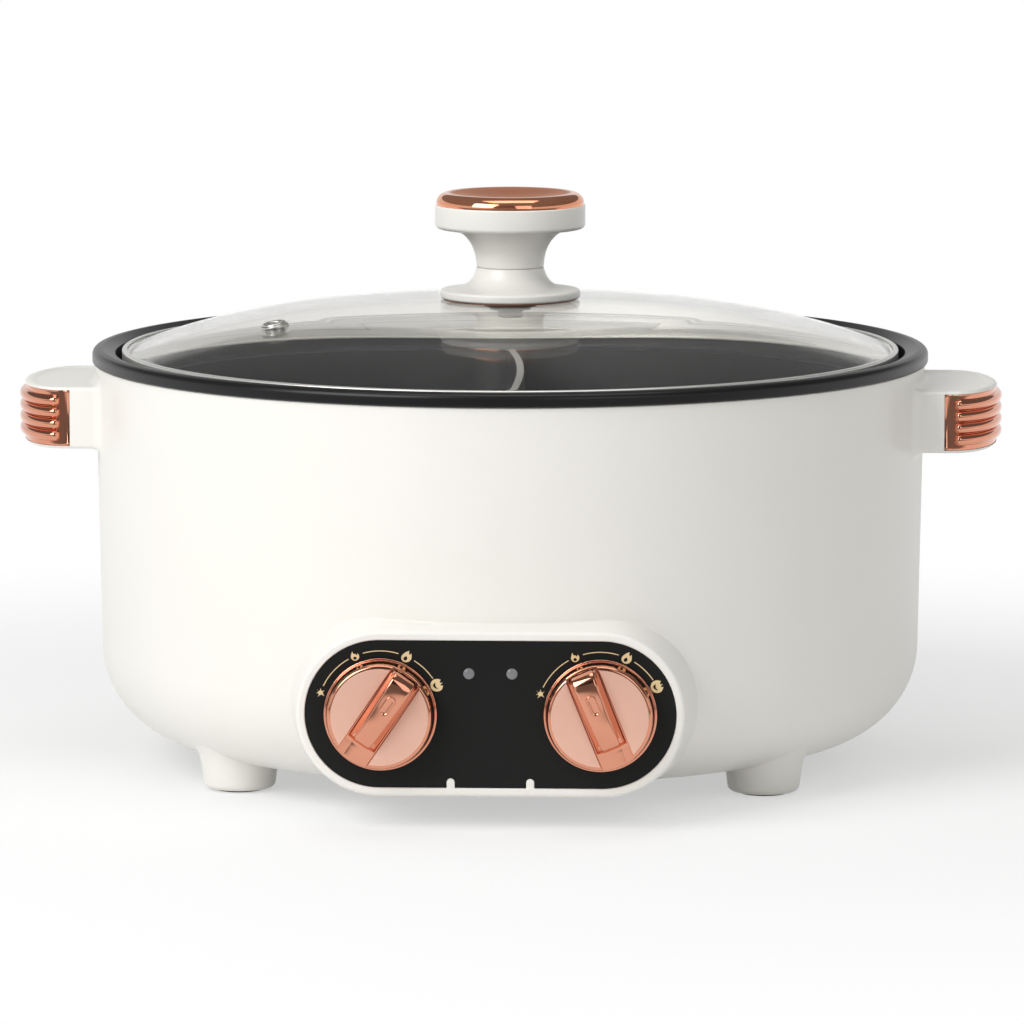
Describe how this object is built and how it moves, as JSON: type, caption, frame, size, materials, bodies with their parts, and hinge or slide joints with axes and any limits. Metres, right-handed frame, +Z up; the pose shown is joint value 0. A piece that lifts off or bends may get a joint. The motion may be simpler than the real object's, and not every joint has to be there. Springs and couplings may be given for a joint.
{
  "type": "divided electric hot pot",
  "caption": "Divided electric hot pot: ivory housing with side handles, glass lid and two rotary heat controls",
  "frame": {"origin": "on the floor, below the axis of the round pot", "axes": "+X to the right of a person facing the controls, +Y to the back (power inlet), +Z up; controls face -Y"},
  "size_m": [0.3828, 0.3699, 0.2217],
  "materials": {
    "ivory_plastic": "satin moulded polypropylene, ivory white",
    "rose_gold": "bright rose gold plating on plastic",
    "black_plastic": "satin black heat-resistant plastic",
    "fascia_black": "fine matt black with printed gold heat scale",
    "nonstick": "black non-stick coating on cast aluminium",
    "rubber": "moulded silicone rubber",
    "steel": "plain sheet and turned steel",
    "bright_steel": "polished stainless steel",
    "element_steel": "heat-darkened steel tube",
    "brass": "plain brass",
    "clear_glass": "tempered soda-lime glass",
    "lamp_lens": "frosted light pipe",
    "phenolic": "moulded phenolic",
    "steatite": "pressed steatite",
    "circuit_board": "green glass-fibre board",
    "gasket": "copper-brown silicone gasket"
  },
  "bodies": {
    "housing": {"outer_housing": "ivory_plastic", "foot_pads": "rubber", "grip_insert_left": "rose_gold", "grip_insert_right": "rose_gold", "rim_ring": "black_plastic", "inner_pot": "nonstick", "heating_element_left": "element_steel", "heating_element_right": "element_steel", "thermostat_left": "steel", "thermostat_right": "steel", "thermostat_screws": "steel", "thermal_fuses": "bright_steel", "fuse_clips": "steel", "pot_studs": "steel", "stud_spacers": "steel", "standoffs": "steel", "heat_shield": "steel", "base_cover": "ivory_plastic", "base_screws": "steel", "terminal_block": "steatite", "block_screws": "steel", "control_housing": "ivory_plastic", "control_fascia": "fascia_black", "control_screws": "steel", "rotary_switch_left": "phenolic", "rotary_switch_right": "phenolic", "switch_terminals": "brass", "switch_screws": "steel", "indicator_lenses": "lamp_lens", "indicator_lamps": "clear_glass", "indicator_board": "circuit_board", "power_inlet": "phenolic", "inlet_prongs": "brass", "inlet_screws": "steel"},
    "lid": {"lid_glass": "clear_glass", "lid_band": "bright_steel", "steam_vent": "bright_steel", "lid_knob_gasket": "gasket", "lid_knob_base": "ivory_plastic", "lid_knob_grip": "ivory_plastic", "lid_knob_cap": "rose_gold", "lid_seal": "rubber", "lid_washer": "steel", "lid_screw": "steel"},
    "knob_left": {"control_knob_left": "rose_gold", "control_shaft_left": "steel"},
    "knob_right": {"control_knob_right": "rose_gold", "control_shaft_right": "steel"}
  },
  "joints": [
    {"name": "lid_lift", "type": "slide", "parent": "housing", "child": "lid", "axis": [0, 0, 1], "range_m": [0, 0.15]},
    {"name": "knob_left_turn", "type": "hinge", "parent": "housing", "child": "knob_left", "pos_m": [-0.0406, -0.1705, 0.0437], "axis": [0, -1, 0], "range_deg": [-29.5, 104.5]},
    {"name": "knob_right_turn", "type": "hinge", "parent": "housing", "child": "knob_right", "pos_m": [0.0406, -0.1705, 0.0437], "axis": [0, -1, 0], "range_deg": [-85.5, 48.5]}
  ]
}
